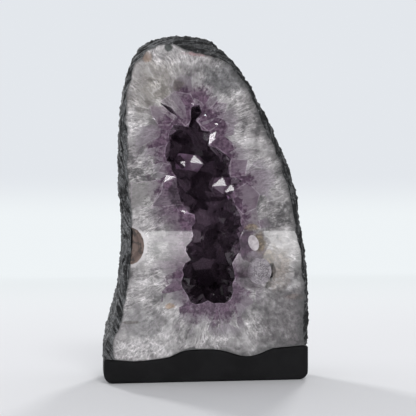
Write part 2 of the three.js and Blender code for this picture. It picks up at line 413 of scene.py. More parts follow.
@functools.cache
def growth_group():
    """Where a place lies between the heart of the cavity and the crust.

    Root is the same along each growing fibre, and Distance runs along it, away from the heart.
    """
    group, entry, leave = shader_group(
        "Growth from the heart",
        [("Sway", "NodeSocketFloat", 1.0)],
        [("Root", "NodeSocketVector"), ("Distance", "NodeSocketFloat")],
    )
    place = object_place(group)
    sway = None
    for scale, reach in ((38, 10 * MM), (130, 4 * MM), (420, 1.1 * MM)):
        field = add(group, "ShaderNodeTexNoise", {"Vector": place, "Scale": scale, "Detail": 1.0})
        centred = vector_maths(group, "SUBTRACT", field.outputs["Color"], (0.5, 0.5, 0.5))
        step = vector_maths(group, "SCALE", centred, Scale=times(group, entry["Sway"], reach))
        sway = step if sway is None else vector_maths(group, "ADD", sway, step)
    place = vector_maths(group, "ADD", place, sway)
    flat = vector_maths(group, "MULTIPLY", place, (1, 0, 1))
    nearest, least = None, None
    for (x0, z0), (x1, z1) in zip(HEART, HEART[1:]):
        start = Vector((x0, 0, z0)) * MM
        along = Vector((x1 - x0, 0, z1 - z0)) * MM
        offset = vector_maths(group, "SUBTRACT", flat, start)
        share = vector_maths(group, "DOT_PRODUCT", offset, along / along.length_squared, output="Value")
        share = plus(group, share, 0.0, clamp=True)
        step = vector_maths(group, "SCALE", tuple(along), Scale=share)
        point = vector_maths(group, "ADD", step, start)
        distance = vector_maths(group, "DISTANCE", flat, point, output="Value")
        if nearest is None:
            nearest, least = point, distance
            continue
        closer = maths(group, "LESS_THAN", distance, least)
        choose = add(group, "ShaderNodeMix", {0: closer, 4: nearest, 5: point}, data_type="VECTOR")
        nearest = choose.outputs[1]
        least = maths(group, "MINIMUM", distance, least)
    direction = vector_maths(group, "NORMALIZE", vector_maths(group, "SUBTRACT", flat, nearest))
    root = vector_maths(group, "ADD", nearest, vector_maths(group, "SCALE", direction, Scale=40 * MM))
    group.links.new(root, leave["Root"])
    group.links.new(least, leave["Distance"])
    return group


@functools.cache
def fibre_group():
    """Streaks that run with the growth: 0 between them and 1 on them."""
    group, entry, leave = shader_group(
        "Growth fibres",
        [
            ("Root", "NodeSocketVector", (0, 0, 0)),
            ("Distance", "NodeSocketFloat", 0.0),
            ("Width", "NodeSocketFloat", 1.5 * MM),
            ("Length", "NodeSocketFloat", 18 * MM),
            ("Sharpness", "NodeSocketFloat", 3.0),
        ],
        [("Streak", "NodeSocketFloat")],
    )
    scaled = vector_maths(group, "DIVIDE", entry["Root"], entry["Width"])
    along = maths(group, "DIVIDE", entry["Distance"], entry["Length"])
    field = noise_value(group, scaled, 1.0, detail=2.0, w=along)
    centred = maths(group, "ABSOLUTE", minus(group, times(group, field, 2.0), 1.0))
    ridge = minus(group, 1.0, times(group, centred, 2.0), clamp=True)
    group.links.new(maths(group, "POWER", ridge, entry["Sharpness"]), leave["Streak"])
    return group


# ---- materials ----


def streaks(tree, growth, width, reach, sharpness):
    """White streaks along the growth; width and reach are in millimetres."""
    inputs = {
        "Root": growth["Root"], "Distance": growth["Distance"],
        "Width": width * MM, "Length": reach * MM, "Sharpness": sharpness,
    }
    return use_group(tree, fibre_group(), inputs)["Streak"]


def crystals_cut_through(tree, growth, width, reach):
    """Random colours of crystals that lie side by side along the growth, and the distance to their seams."""
    across = vector_maths(tree, "DIVIDE", growth["Root"], (width * MM,) * 3)
    inputs = {"Vector": across, "W": maths(tree, "DIVIDE", growth["Distance"], reach * MM), "Scale": 1.0}
    cells = add(tree, "ShaderNodeTexVoronoi", inputs, voronoi_dimensions="4D").outputs["Color"]
    seams = add(tree, "ShaderNodeTexVoronoi", inputs, voronoi_dimensions="4D", feature="DISTANCE_TO_EDGE")
    return add(tree, "ShaderNodeSeparateColor", {"Color": cells}).outputs, seams.outputs["Distance"]


def cloudy_quartz(tree, place, growth, settings):
    """Cloudy patches, and crystals of uneven clearness with pale seams, fanned out towards the crust."""
    patch = fade(tree, noise_value(tree, place, 28, detail=3.0), 0.36, 0.64)
    cloud = fade(tree, noise_value(tree, place, 105, detail=6.0, roughness=0.64), 0.30, 0.70)
    petal, seams = crystals_cut_through(tree, growth, 8.5, 24)
    small_petal, _ = crystals_cut_through(tree, growth, 4.5, 11)
    milky = 0.0
    for field, share in ((patch, 0.30), (cloud, 0.38), (petal["Red"], 0.22), (small_petal["Red"], 0.14)):
        milky = plus(tree, milky, times(tree, field, share))
    base = mix(tree, fade(tree, milky, 0.24, 0.58), settings.clear_grey, settings.haze)
    base = mix(tree, fade(tree, milky, 0.54, 0.88), base, settings.milk)
    base = mix(tree, spot(tree, place, (-42, 238), (32, 36), 0.45, blur=0.9), base, (0.34, 0.31, 0.265))
    pale_seams = times(tree, fade(tree, seams, 0.06, 0.0), fade(tree, cloud, 0.3, 0.8, 0.0, 0.35))
    return mix(tree, pale_seams, base, settings.strand)


def white_strands(tree, place, growth):
    """Thin white strands, thick in some places and missing in others."""
    crowd = fade(tree, noise_value(tree, place, 55, detail=2.0), 0.38, 0.62, 0.25, 1.25)
    strands = 0.0
    for width, reach, sharpness, strength in ((2.6, 10, 5.0, 0.5), (1.6, 6, 4.0, 0.45)):
        streak = minus(tree, streaks(tree, growth, width, reach, sharpness), 0.2)
        strands = plus(tree, strands, times(tree, streak, strength))
    curls = lines(tree, noise_value(tree, place, 260, detail=2.0, distortion=0.9), 0.5, 0.035, -0.08, 0.32)
    return times(tree, plus(tree, strands, curls), crowd)


def amethyst_ends(tree, place, grain, speckle, base, settings):
    """Lays the amethyst ends of the crystals, cut through, and a painted highlight along the edge of the mouth over
    the quartz. Also returns where they lie.
    """
    straight = use_group(tree, growth_group(), {"Sway": 0.25})
    tone, seams = crystals_cut_through(tree, straight, 12.5, 19)
    streaky = spot(tree, place, (-35, 116), (17, 32), 0.85)
    to_mouth = attribute(tree, "to_mouth")
    reach = plus(tree, to_mouth, fade(tree, tone["Red"], 0, 1, -9 * MM, 9 * MM))
    zone = times(tree, fade(tree, reach, 22 * MM, 12 * MM), minus(tree, 1.0, streaky))
    lilac = fade(tree, reach, 25 * MM, 4 * MM)
    shift = fade(tree, tone["Green"], 0, 1, -7 * MM, 6 * MM)
    shift = plus(tree, shift, fade(tree, grain, 0.3, 0.7, -6 * MM, 6 * MM))
    violet = fade(tree, plus(tree, to_mouth, shift), 15 * MM, 3.5 * MM)
    violet = times(tree, violet, fade(tree, streaky, 0, 1, 1.0, 0.55))
    outline = times(tree, fade(tree, seams, 0.03, 0.0), zone)
    # Painted highlight: a thin pale line along the edge of the mouth, laid into the colour of the cut face.
    rim = fade(tree, to_mouth, 1.0 * MM, 0.3 * MM)

    crystal = mix(tree, tone["Blue"], (0.13, 0.12, 0.13), (0.37, 0.35, 0.375))
    speckled = mix(tree, speckle, settings.violet, (0.16, 0.095, 0.15))
    base = mix(tree, times(tree, zone, 0.6), base, crystal)
    ridges = 0.0
    for corners, tint, strength in PLATES:
        inside, edge = plate(tree, place, corners)
        base = mix(tree, times(tree, inside, strength), base, tint)
        ridges = maths(tree, "MAXIMUM", ridges, edge)
    for mask, strength, tint in (
        (lilac, 0.68, settings.lilac),
        (violet, 0.92, speckled),
        (ridges, fade(tree, grain, 0.35, 0.6, 0.0, 0.55), (0.45, 0.39, 0.44)),
        (outline, fade(tree, grain, 0.45, 0.65, 0.0, 0.4), (0.42, 0.36, 0.44)),
        (rim, fade(tree, grain, 0.42, 0.6, 0.0, 0.5), (0.42, 0.32, 0.42)),
    ):
        base = mix(tree, times(tree, mask, strength), base, tint)
    return base, zone


def stains_and_crack_shade(tree, place, speckle, base):
    """Lays the stains, the painted shade in the crack at the grey nodule and the pale rim of the agate over the
    quartz.
    """
    mottle = fade(tree, speckle, 0, 1, 0.6, 1.5)
    for centre, size, strength, patch_colour in STAINS_AND_CRACK_SHADE:
        patch = spot(tree, place, centre, size, strength, wobble=0.55, blur=0.5)
        base = mix(tree, patch, base, vector_maths(tree, "SCALE", patch_colour, Scale=mottle))
    pale_rim = spot(tree, place, (-63, 110.5), (14.5, 17.8), 0.9, wobble=0.1, blur=0.1)
    return mix(tree, pale_rim, base, (0.56, 0.53, 0.54))


def crust_shadow(tree, place):
    """How much the lining darkens where it meets the crust."""
    width = fade(tree, coordinate(tree, place, "X"), -10 * MM, 40 * MM, 2.5 * MM, 12 * MM)
    width = times(tree, width, fade(tree, noise_value(tree, place, 90, detail=3.0), 0.3, 0.7, 0.2, 1))
    edge = minus(tree, 1.0, maths(tree, "DIVIDE", attribute(tree, "to_rim"), width), clamp=True)
    return times(tree, edge, 0.8)


def polished_quartz(settings):
    """The cut face: milky fibres that grow from the crust, turning lilac and purple at the cavity."""
    material, tree, shader, _ = new_material("polished_quartz", IOR=QUARTZ_IOR)
    place = object_place(tree)
    growth = use_group(tree, growth_group(), {"Sway": 1.0})
    grain = noise_value(tree, place, 170, detail=6.0, roughness=0.7)
    speckle = plus(tree, noise_value(tree, place, 300, detail=4.0, roughness=0.7), grain)
    speckle = fade(tree, speckle, 0.84, 1.20)
    base = cloudy_quartz(tree, place, growth, settings)
    base, amethyst = amethyst_ends(tree, place, grain, speckle, base, settings)
    gain = times(tree, white_strands(tree, place, growth), fade(tree, amethyst, 0, 1, 1.1, 0.6))
    base = vector_maths(tree, "SCALE", base, Scale=plus(tree, 1.0, gain))
    base = stains_and_crack_shade(tree, place, speckle, base)
    base = mix(tree, crust_shadow(tree, place), base, (0.07, 0.072, 0.072))
    dull = spot(tree, place, (38, 111), (14, 15), 1.0)
    set_inputs(tree, shader, {"Base Color": base, "Roughness": fade(tree, dull, 0, 1, POLISHED, 0.5)})
    return material


# Large crystals cut through near the mouth: corners (x, z) in millimetres, colour, strength.
PLATES = [
    ([(-62, 161), (-36, 164), (-38, 153), (-47, 141), (-62, 142)], (0.33, 0.318, 0.315), 0.8),
    ([(-36, 162), (-24, 166), (-21, 150), (-17, 141), (-38, 142), (-46, 141)], (0.10, 0.078, 0.098), 0.85),
    ([(-42, 168), (-36, 177), (-30, 176), (-26, 168), (-34, 169)], (0.12, 0.075, 0.115), 0.6),
    ([(-47, 223), (-35, 223), (-27, 214), (-31, 208), (-40, 208), (-45, 215)], (0.25, 0.20, 0.235), 0.7),
    ([(-38, 227), (-27, 235), (-14, 233), (-11, 227), (-14, 211), (-18, 207), (-27, 216)], (0.22, 0.19, 0.215), 0.75),
    ([(-9, 211), (-5, 215), (6, 227), (16, 226), (13, 214), (8, 208), (1, 203)], (0.21, 0.175, 0.21), 0.75),
    ([(19, 181), (33, 180), (31, 168), (19, 166)], (0.15, 0.095, 0.145), 0.75),
    ([(19, 153), (33, 162), (43, 152), (40, 141), (29, 136), (23, 143)], (0.15, 0.10, 0.142), 0.7),
    ([(27, 135), (40, 141), (44, 124), (33, 126)], (0.19, 0.155, 0.18), 0.6),
]


def plate(tree, place, corners):
    """Masks of a many-sided patch of the cut face, given clockwise, and of its outline."""
    inside = 1.0
    for (x0, z0), (x1, z1) in sides(corners):
        out = Vector((z0 - z1, 0, x1 - x0)).normalized()
        reach = vector_maths(tree, "DOT_PRODUCT", place, out, output="Value")
        beyond = out.x * x0 * MM + out.z * z0 * MM
        inside = maths(tree, "MINIMUM", inside, minus(tree, beyond, reach))
    edge = maths(tree, "ABSOLUTE", inside)
    return fade(tree, inside, -0.2 * MM, 0.4 * MM), fade(tree, edge, 0.7 * MM, 0.1 * MM)


# Stains on the cut face, and painted shade in the crack at the grey nodule: middle (x, z) and half size (x, z) in
# millimetres, strength, colour.
STAINS_AND_CRACK_SHADE = [
    ((-31, 62), (5, 3), 0.5, (0.38, 0.22, 0.10)),
    ((-63, 49), (8, 1.6), 0.6, (0.22, 0.17, 0.12)),
    ((72, 68), (10, 3), 0.5, (0.33, 0.19, 0.11)),
    ((84, 66), (5, 5), 0.8, (0.33, 0.20, 0.09)),
    ((-50, 263), (6, 6), 0.4, (0.33, 0.21, 0.14)),
    ((-32, 271), (4, 5), 0.9, (0.045, 0.055, 0.05)),
    ((2, 266), (26, 3), 0.5, (0.30, 0.12, 0.13)),
    ((32, 112), (7, 15), 0.9, (0.060, 0.031, 0.057)),
    ((-24, 154), (10, 14), 0.85, (0.045, 0.032, 0.044)),
    ((29, 96), (6, 15), 0.75, (0.085, 0.050, 0.082)),
    ((22, 160), (7, 20), 0.5, (0.085, 0.048, 0.082)),
    ((42, 113), (7, 12), 0.9, (0.20, 0.155, 0.105)),
    ((36, 125), (7, 4), 0.8, (0.22, 0.17, 0.12)),
    ((50, 101), (6, 10), 0.8, (0.20, 0.16, 0.11)),
    ((58, 92), (14, 24), 0.6, (0.26, 0.215, 0.18)),
    ((38, 88), (17, 18), 0.85, (0.085, 0.065, 0.080)),
    # Painted shade: the dark line of the crack at the right edge of the grey nodule.
    ((52.5, 89), (2.6, 9), 1.0, (0.016, 0.015, 0.014)),
    ((50, 78), (3, 4), 0.8, (0.05, 0.045, 0.035)),
    ((70, 48), (34, 40), 0.78, (0.11, 0.10, 0.105)),
    ((14, 246), (24, 16), 0.8, (0.12, 0.12, 0.125)),
    ((-52, 48), (24, 18), 0.55, (0.15, 0.145, 0.15)),
    ((-24, 240), (6, 5), 0.6, (0.12, 0.10, 0.085)),
    ((-56, 152), (12, 13), 0.15, (0.12, 0.112, 0.108)),
]


def spot(tree, place, centre, size, strength, wobble=0.45, blur=0.25):
    """A soft-edged patch of the cut face, uneven in outline."""
    middle = (centre[0] * MM, 0, centre[1] * MM)
    offset = vector_maths(tree, "SUBTRACT", place, middle)
    share = vector_maths(tree, "MULTIPLY", offset, (1 / (size[0] * MM), 0, 1 / (size[1] * MM)))
    distance = vector_maths(tree, "LENGTH", share, output="Value")
    ragged = times(tree, noise_value(tree, place, 190, detail=4.0), 2 * wobble)
    distance = minus(tree, plus(tree, distance, ragged), wobble)
    return fade(tree, distance, 1.0, 1.0 - blur, 0.0, strength)


def clear_amethyst(settings):
    """See-through crystal, clouded a little, paler at the mouth of the cavity and darker inside, with painted shade
    on the low crystals and on facets by the way they face.
    """
    material, tree, shader, out = new_material("clear_amethyst", Roughness=0.04, IOR=1.544, Transmission_Weight=0.7)
    place = object_place(tree)
    depth = minus(tree, coordinate(tree, place, "Y"), FACE_Y)
    cloud = noise_value(tree, place, 45, detail=3.0)
    depth = plus(tree, depth, fade(tree, cloud, 0.3, 0.7, -8 * MM, 8 * MM))
    base = mix(tree, fade(tree, depth, 14 * MM, 0.0), settings.amethyst, settings.amethyst_pale)
    # Painted shade: crystals low in the cavity are darkened towards near black.
    low = fade(tree, coordinate(tree, place, "Z"), 125 * MM, 75 * MM, 0.0, 0.75)
    base = mix(tree, low, base, (0.02, 0.012, 0.02))
    # Painted shade: facets are darkened by the way they face, so that neighbouring facets differ in brightness.
    facing = add(tree, "ShaderNodeNewGeometry").outputs["True Normal"]
    facet_shade = noise_value(tree, facing, 3.3, detail=1.0)
    base = mix(tree, fade(tree, facet_shade, 0.38, 0.62, 0.75, 0.0), base, (0.03, 0.018, 0.03))
    absorption = {"Color": rgba(settings.amethyst_tint), "Density": settings.amethyst_density}
    body = add(tree, "ShaderNodeVolumeAbsorption", absorption)
    set_inputs(tree, shader, {"Base Color": base})
    set_inputs(tree, out, {"Volume": body.outputs["Volume"]})
    return material


def rough_crust(settings):
    """Dark basalt crust with strands that run along the outline, and small painted glints."""
    material, tree, shader, _ = new_material("rough_crust", Roughness=0.7, Specular_IOR_Level=0.35)
    place = object_place(tree)
    growth = use_group(tree, growth_group(), {"Sway": 0.12})
    depth = vector_maths(tree, "MULTIPLY", place, (0, 1, 0))
    along = vector_maths(tree, "DIVIDE", vector_maths(tree, "ADD", growth["Root"], depth), (9 * MM,) * 3)
    across = maths(tree, "DIVIDE", growth["Distance"], 1.5 * MM)
    strands = noise_value(tree, along, 1.0, detail=3.0, w=across, roughness=0.6)
    mottle = noise_value(tree, place, 260, detail=5.0, roughness=0.7)
    side = coordinate(tree, place, "X")
    dark_side = fade(tree, side, -60 * MM, -10 * MM, 0.0, 0.10)
    tone = fade(tree, minus(tree, plus(tree, strands, mottle), dark_side), 0.84, 1.22)
    base = mix(tree, tone, settings.crust_dark, settings.crust_pale)
    threads = times(tree, lines(tree, strands, 0.56, 0.035), fade(tree, side, -60 * MM, -10 * MM, 0.65, 0.2))
    base = mix(tree, threads, base, (0.34, 0.35, 0.36))
    # Painted glints: small pale specks laid into the crust's colour.
    glint_spots = add(tree, "ShaderNodeTexVoronoi", {"Vector": place, "Scale": 420}).outputs["Distance"]
    glint = times(tree, fade(tree, glint_spots, 0.24, 0.08), fade(tree, mottle, 0.45, 0.6))
    base = mix(tree, times(tree, glint, 0.6), base, (0.38, 0.39, 0.40))
    relief = plus(tree, strands, noise_value(tree, place, 520, detail=4.0))
    set_inputs(tree, shader, {"Base Color": base, "Normal": bump(tree, relief, 1.1 * MM, 0.9)})
    return material


def cast_cement(settings):
    """Cement painted matt black."""
    material, tree, shader, _ = new_material("cast_cement", Roughness=0.7, Specular_IOR_Level=0.2)
    place = object_place(tree)
    mottle = fade(tree, noise_value(tree, place, 60, detail=4.0), 0.35, 0.65)
    base = mix(tree, mottle, settings.foot_black, (0.0095, 0.0095, 0.0105))
    relief = noise_value(tree, place, 600, detail=3.0)
    set_inputs(tree, shader, {"Base Color": base, "Normal": bump(tree, relief, 0.08 * MM, 0.5)})
    return material


def brown_agate(settings):
    """Brown agate in rings round its middle, with mottled dark patches."""
    material, tree, shader, _ = new_material("brown_agate", Roughness=0.5, IOR=QUARTZ_IOR)
    place = object_place(tree)
    share = vector_maths(tree, "SUBTRACT", place, Vector((-66, 0, 110.5)) * MM)
    share = vector_maths(tree, "MULTIPLY", share, (1, 0, 0.8))
    distance = vector_maths(tree, "LENGTH", share, output="Value")
    distance = plus(tree, distance, times(tree, noise_value(tree, place, 160, detail=3.0), 5 * MM))
    rings = noise_value(tree, (0, 0, 0), 1.0, detail=2.0, w=times(tree, distance, 520))
    base = mix(tree, fade(tree, rings, 0.35, 0.65), settings.agate_dark, settings.agate_pale)
    thicker = fade(tree, coordinate(tree, place, "X"), -62 * MM, -72 * MM, 0.0, 0.10)
    patches = fade(tree, plus(tree, noise_value(tree, place, 210, detail=4.0), thicker), 0.52, 0.60)
    base = mix(tree, times(tree, patches, 0.75), base, (0.03, 0.025, 0.022))
    set_inputs(tree, shader, {"Base Color": base})
    return material


def white_calcite(settings):
    """White pebble with a faint lilac clouding."""
    material, tree, shader, _ = new_material("white_calcite", Roughness=0.35, IOR=1.6)
    place = object_place(tree)
    cloud = fade(tree, noise_value(tree, place, 240, detail=4.0), 0.35, 0.65)
    base = mix(tree, cloud, (0.42, 0.37, 0.40), (0.68, 0.63, 0.65))
    set_inputs(tree, shader, {"Base Color": base})
    return material


def grey_quartz(settings):
    """Grey nodule with short pale strands and a violet edge towards the cavity."""
    material, tree, shader, _ = new_material("grey_quartz", Roughness=0.3, IOR=QUARTZ_IOR)
    place = object_place(tree)
    mottle = fade(tree, noise_value(tree, place, 190, detail=5.0, roughness=0.65), 0.35, 0.65)
    base = mix(tree, mottle, (0.12, 0.10, 0.12), (0.32, 0.285, 0.32))
    strand = noise_value(tree, place, 330, detail=2.0, distortion=1.2)
    base = mix(tree, lines(tree, strand, 0.5, 0.05, 0.0, 0.5), base, settings.strand)
    towards_cavity = fade(tree, coordinate(tree, place, "X"), 38 * MM, 33 * MM, 0.0, 0.75)
    base = mix(tree, towards_cavity, base, settings.violet)
    set_inputs(tree, shader, {"Base Color": base})
    return material


# ---- the rind and the foot ----


def outward(place):
    """The way out of the stone at a place on its outside."""
    return Vector((place.x * 1.3, place.y - FACE_Y - 30 * MM, 0.3 * (place.z - 110 * MM))).normalized()


def crust_height(place):
    """Lumps and pits of the natural crust, about -1 to 1."""
    lumps = noise.fractal(place * 90, 1.0, 2.1, 3)
    knobs = noise.fractal(place * 330, 0.8, 2.0, 3)
    return 0.6 * lumps + 0.8 * knobs


def build_rind(settings):
    rind = copy_of_node("rind", "rough_rind")
    stand_past_face(rind)
    remesh(rind, settings.crust_grain)
    normals = [Vector(vertex.normal) for vertex in rind.data.vertices]
    for vertex, normal in zip(rind.data.vertices, normals):
        place = Vector(vertex.co)
        height = crust_height(place)
        if normal.dot(outward(place)) > 0:
            vertex.co = place + normal * (settings.crust_relief * height - 0.4 * MM)
        else:
            wave = 0.9 + 1.6 * noise.fractal(place * 75, 1.0, 2.0, 3) + 0.5 * height
            vertex.co = place + normal * max(wave, 0.3) * MM
    rind.data.update()
    return rind


def build_foot(settings):
    foot = copy_of_node("cast_foot", "cement_foot")
    remesh(foot, settings.foot_grain)
    modifier = foot.modifiers.new("soften", "SMOOTH")
    modifier.iterations = 3
    modifier.factor = 0.5
    apply_modifiers(foot)
    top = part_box("cast_foot")[1].z
    normals = [Vector(vertex.normal) for vertex in foot.data.vertices]
    for vertex, normal in zip(foot.data.vertices, normals):
        place = Vector(vertex.co)
        if normal.z > 0.5 and place.z > 0.4 * top:
            place.z += 1.3 * MM * noise.fractal(place * 160, 1.0, 2.0, 3)
        vertex.co = (place.x, max(place.y, FACE_Y), max(place.z, 0))
    return foot


# ---- the quartz lining ----


TOOTH = 4.5  # length of a small crystal point along the mouth, in millimetres


@functools.cache
def mouth_outline():
    """The mouth with small crystal points along its longer stretches."""
    rng = np.random.default_rng(3)
    points = []
    for start, end in ring_edges(np.array(MOUTH, float)):
        along = end - start
        span = np.linalg.norm(along)
        out = np.array([-along[1], along[0]]) / span
        points.append(start)
        teeth = int(span / TOOTH)
        for tooth in range(1, teeth):
            side = 1 if tooth % 2 else -1
            share = (tooth + rng.uniform(-0.25, 0.25)) / teeth
            points.append(start + share * along + side * rng.uniform(0.4, 1.9) * out)
    return np.array(points)


def smoothed(points, rounds):
    for _ in range(rounds):
        points = 0.5 * points + 0.25 * (np.roll(points, 1, 0) + np.roll(points, -1, 0))
    return points


def cavity_ring(depth, reach, smoothing):
    """The cavity's wall at a depth in mm behind the cut face: the mouth's outline, smoothed and set outwards."""
    points = smoothed(mouth_outline(), smoothing)
    along = np.roll(points, -1, 0) - np.roll(points, 1, 0)
    out = np.stack([-along[:, 1], along[:, 0]], 1)
    out /= np.linalg.norm(out, axis=1, keepdims=True)
    return [Vector((x * MM, FACE_Y + depth * MM, z * MM)) for x, z in points + reach * out]


# Depth behind the face in mm, how far the wall stands outside the mouth in mm, and smoothing steps.
CAVITY_WALL = [
    (-8, 0, 0), (0, 0, 0), (4, 2, 2), (9, 5, 6), (18, 9, 16), (32, 10, 30), (46, 6, 40), (58, -2, 60), (65, -9, 80),
]


# The two lights that the crystals mirror to the viewer.
HIGH_LIGHT = Vector((0.10, FACE_Y - 1.15, 1.52))
LOW_LIGHT = Vector((0.15, FACE_Y - 1.38, 0.71))


def view_across(studio):
    """How far the camera and what it looks at stand to the right of the middle of the cut face."""
    return Vector((math.cos(studio.azimuth), math.sin(studio.azimuth), 0)) * studio.aim_right


def eye_place(studio):
    away = Vector((math.sin(studio.azimuth), -math.cos(studio.azimuth), 0))
    return Vector((0, FACE_Y, studio.eye_height)) + view_across(studio) + away * studio.distance


def mirror_normal(place, light):
    """The normal of a face at a place that mirrors a light to the viewer."""
    eye = eye_place(bpy.context.scene.geode_studio)
    return ((eye - place).normalized() + (light - place).normalized()).normalized()


CRYSTAL_TILT = math.radians(51.8)  # between an end face's normal and the crystal's length
ROOTED = 6 * MM  # how deep a crystal starts in the lining
NOTCH = 213 * MM  # the height where the mouth ends in a narrow gap without crystals
SHINE = math.radians(8)  # how far a face that still shines may lean from the mirror's way
SPIN_STEP = math.radians(10)


def crystal_planes(radius, length, widths, ends):
    """Outward normals and distances of a quartz crystal's faces, root at the origin and point along +Z.

    widths are shares of the radius, and ends say how far each end face stands past the point, in radii.
    """
    normals, distances = [(0, 0, -1)], [0.0]
    for side in range(6):
        angle = math.pi / 3 * side
        x, y = math.cos(angle), math.sin(angle)
        normals.append((x, y, 0))
        distances.append(radius * widths[side])
        normals.append((x * math.sin(CRYSTAL_TILT), y * math.sin(CRYSTAL_TILT), math.cos(CRYSTAL_TILT)))
        distances.append((length + radius * ends[side]) * math.cos(CRYSTAL_TILT))
    return np.array(normals), np.array(distances)


def solid_between(normals, distances):
    """Corners and faces of the convex solid that the planes enclose."""
    triples = np.array(list(itertools.combinations(range(len(normals)), 3)))
    matrices = normals[triples]
    good = np.abs(np.linalg.det(matrices)) > 1e-6
    triples, matrices = triples[good], matrices[good]
    points = np.linalg.solve(matrices, distances[triples][:, :, None])[:, :, 0]
    inside = (points @ normals.T <= distances + 1e-9).all(1)
    corners = []
    for point in points[inside]:
        if all(np.linalg.norm(point - other) > 1e-6 for other in corners):
            corners.append(point)
    corners = np.array(corners)
    faces = []
    for normal, distance in zip(normals, distances):
        on_plane = np.where(np.abs(corners @ normal - distance) < 1e-7)[0]
        if len(on_plane) < 3:
            continue
        middle = corners[on_plane].mean(0)
        side = np.cross(normal, [0.31, 0.52, 0.79])
        up = np.cross(normal, side)
        spokes = corners[on_plane] - middle
        order = np.argsort(np.arctan2(spokes @ up, spokes @ side))
        faces.append([int(on_plane[i]) for i in order])
    return corners, faces


def turn_to(direction):
    """The turn that brings +Z to a direction."""
    return direction.to_track_quat("Z", "Y").to_matrix()


def crystal_corners(place, direction, radius, length, spin, widths, ends):
    """Corners and faces of a crystal with its root sunk in the wall at a place."""
    corners, faces = solid_between(*crystal_planes(radius, length + ROOTED, widths, ends))
    turn = turn_to(direction) @ Matrix.Rotation(spin, 3, "Z")
    root = place - direction * ROOTED
    return [turn @ Vector(corner) + root for corner in corners], faces


def shines(place, direction, spin, light):
    """Whether one of a crystal's faces mirrors a light to the viewer."""
    turn = turn_to(direction)
    mirror = mirror_normal(place, light)
    for side in range(6):
        angle = math.pi / 3 * side + spin
        for tilt in (math.pi / 2, CRYSTAL_TILT):
            x, y = math.cos(angle) * math.sin(tilt), math.sin(angle) * math.sin(tilt)
            if (turn @ Vector((x, y, math.cos(tilt)))).angle(mirror) < SHINE:
                return True
    return False


def random_crystal(rng, place, direction, radius, length):
    """A crystal with uneven faces, or nothing in the notch or where it would break through the cut face."""
    widths = rng.uniform(0.9, 1.1, 6)
    ends = np.where(np.arange(6) % 2, rng.uniform(0.1, 0.9, 6), rng.uniform(0.0, 0.15, 6))
    spin = rng.uniform(0, math.tau)
    while shines(place, direction, spin, HIGH_LIGHT) or shines(place, direction, spin, LOW_LIGHT):
        spin += SPIN_STEP
    corners, faces = crystal_corners(place, direction, radius, length, spin, widths, ends)
    if place.z > NOTCH or min(corner.y for corner in corners) < FACE_Y + 0.7 * MM:
        return None
    return new_object("crystal", corners, faces)


def heart_point(place):
    """The nearest point on the cavity's heart line, at the place's own depth."""
    flat = Vector((place.x, place.z))
    points = []
    for (x0, z0), (x1, z1) in zip(HEART, HEART[1:]):
        start, along = Vector((x0, z0)) * MM, Vector((x1 - x0, z1 - z0)) * MM
        share = (flat - start).dot(along) / along.length_squared
        points.append(start + along * min(1, max(0, share)))
    nearest = min(points, key=lambda point: (point - flat).length)
    return Vector((nearest.x, place.y, nearest.y))


# Rows of crystals on the wall: depth in mm, spacing share, size share, turn towards the mouth.
CRYSTAL_ROWS = [
    (3.4, 0.42, 0.34, 0.35), (5.5, 0.55, 0.45, 0.2),
    (9, 0.8, 0.62, 0.05), (17, 1.0, 0.85, -0.1), (26, 1.1, 1.0, -0.25), (36, 1.1, 1.0, -0.45),
    (46, 1.1, 1.0, -0.9), (56, 1.1, 1.05, -1.8),
]


def wall_point(depth, share):
    """A point on the cavity's wall at a depth in millimetres and a share of the way round."""
    after = next(i for i, step in enumerate(CAVITY_WALL) if step[0] >= depth)
    front, back = CAVITY_WALL[after - 1], CAVITY_WALL[after]
    points = []
    for ring in (cavity_ring(*front), cavity_ring(*back)):
        way = share * len(ring)
        corner = int(way) % len(ring)
        points.append(ring[corner].lerp(ring[(corner + 1) % len(ring)], way % 1))
    return points[0].lerp(points[1], (depth - front[0]) / (back[0] - front[0]))


def grow_crystals(settings):
    rng = np.random.default_rng(settings.seed)
    crystals = []
    mouth = mouth_outline() * MM
    steps = np.linalg.norm(np.roll(mouth, -1, 0) - mouth, axis=1)
    round_mouth = steps.sum()
    travelled = np.concatenate([[0], np.cumsum(steps)])
    for depth, spacing, size, turn in CRYSTAL_ROWS:
        count = int(round_mouth / (settings.crystal_spacing * spacing))
        for i in range(count):
            way = (i + rng.uniform(-0.3, 0.3) + 0.5 * (depth % 2)) / count % 1 * round_mouth
            corner = int(np.searchsorted(travelled, way, side="right")) - 1
            share = (corner + (way - travelled[corner]) / steps[corner]) / len(mouth)
            place = wall_point(depth + rng.uniform(-2, 2), share)
            inwards = (heart_point(place) - place).normalized()
            direction = inwards + Vector((0, turn, 0)) + Vector(rng.normal(0, 0.22, 3))
            radius = size * rng.uniform(settings.crystal_small, settings.crystal_large)
            reach = radius * rng.uniform(1.0, 1.7)
            crystals.append(random_crystal(rng, place, direction.normalized(), radius, reach))
    return [crystal for crystal in crystals if crystal]


BACK_SPACING = 15  # between the crystals on the back of the cavity, in millimetres


def grow_back_wall(settings):
    """Stout crystals over the back of the cavity, looking out through the mouth."""
    rng = np.random.default_rng(settings.seed + 1)
    crystals = []
    for row, height in enumerate(np.arange(70, 220, BACK_SPACING)):
        middle = heart_point(Vector((0, 0, height * MM)))
        for step in np.arange(-1.5, 1.6, 1):
            x = middle.x + (step + 0.5 * (row % 2)) * BACK_SPACING * MM + rng.uniform(-2, 2) * MM
            place = Vector((x, FACE_Y + CAVITY_DEPTH - abs(step) * 4 * MM, height * MM))
            direction = Vector((-0.2 * step, -1, 0)) + Vector(rng.normal(0, 0.28, 3))
            radius = rng.uniform(1.0, 1.45) * settings.crystal_large
            reach = radius * rng.uniform(1.4, 2.6)
            crystals.append(random_crystal(rng, place, direction.normalized(), radius, reach))
    return [crystal for crystal in crystals if crystal]


